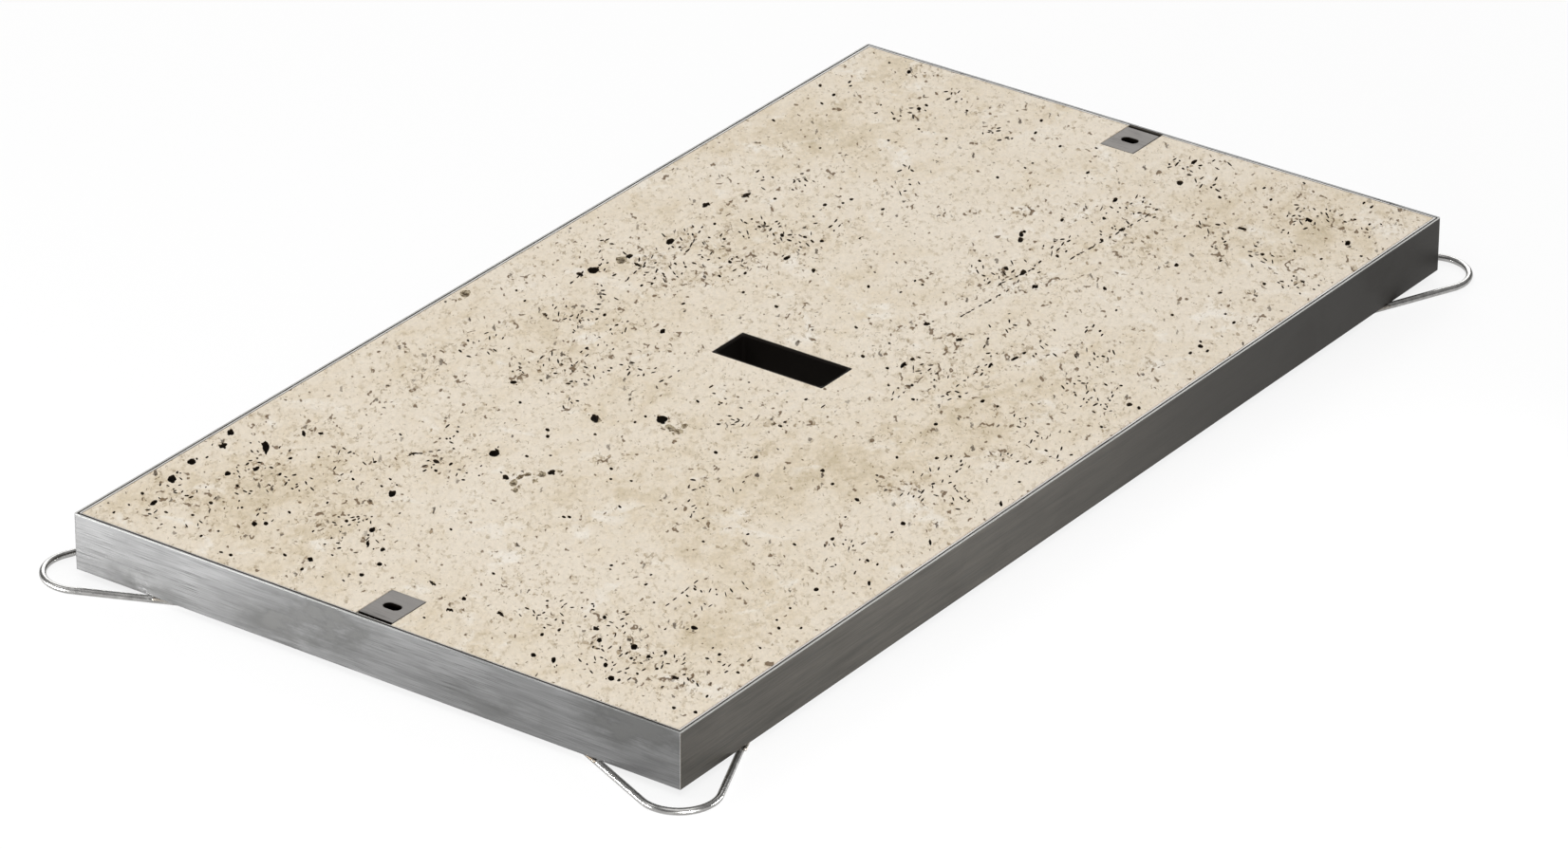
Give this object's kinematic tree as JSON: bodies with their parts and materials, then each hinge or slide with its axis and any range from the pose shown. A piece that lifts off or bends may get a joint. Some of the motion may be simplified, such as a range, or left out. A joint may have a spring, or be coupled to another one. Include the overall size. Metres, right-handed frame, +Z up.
{
  "type": "cable pit cover",
  "caption": "Recessed floor cover in a steel frame, a pan with a flush stone slab, a cable outlet in the middle, slotted key plates at its ends and bent anchor loops.",
  "frame": {"origin": "on the plane of the anchor bars' undersides, below the middle of the slab", "axes": "+X along the short sides, +Y along the long sides, +Z up, out of the stone's walking surface"},
  "size_m": [0.6624, 1.1624, 0.056],
  "materials": {
    "frame_steel": "brushed along its length",
    "loop_steel": "bright drawn bar",
    "pan_steel": "brushed sheet",
    "key_steel": "fine matt blasted",
    "seal_rubber": "matt black",
    "liner_plastic": "matt black",
    "slab_stone": "honed open-pored travertine",
    "bed_mortar": "set grey mortar"
  },
  "bodies": {
    "root": {"frame_rail_front": "frame_steel", "frame_rail_right": "frame_steel", "frame_rail_back": "frame_steel", "frame_rail_left": "frame_steel", "anchor_loops": "loop_steel", "seal_strip_front": "seal_rubber", "seal_strip_right": "seal_rubber", "seal_strip_back": "seal_rubber", "seal_strip_left": "seal_rubber", "tray_pan": "pan_steel", "tray_rib_1": "pan_steel", "tray_rib_2": "pan_steel", "tray_rib_3": "pan_steel", "tray_rib_4": "pan_steel", "bedding_mortar": "bed_mortar", "stone_slab": "slab_stone", "outlet_collar": "pan_steel", "outlet_liner": "liner_plastic", "liner_rivets": "pan_steel", "key_plate_front": "key_steel", "key_box_front": "pan_steel", "key_plate_back": "key_steel", "key_box_back": "pan_steel"}
  },
  "joints": []
}
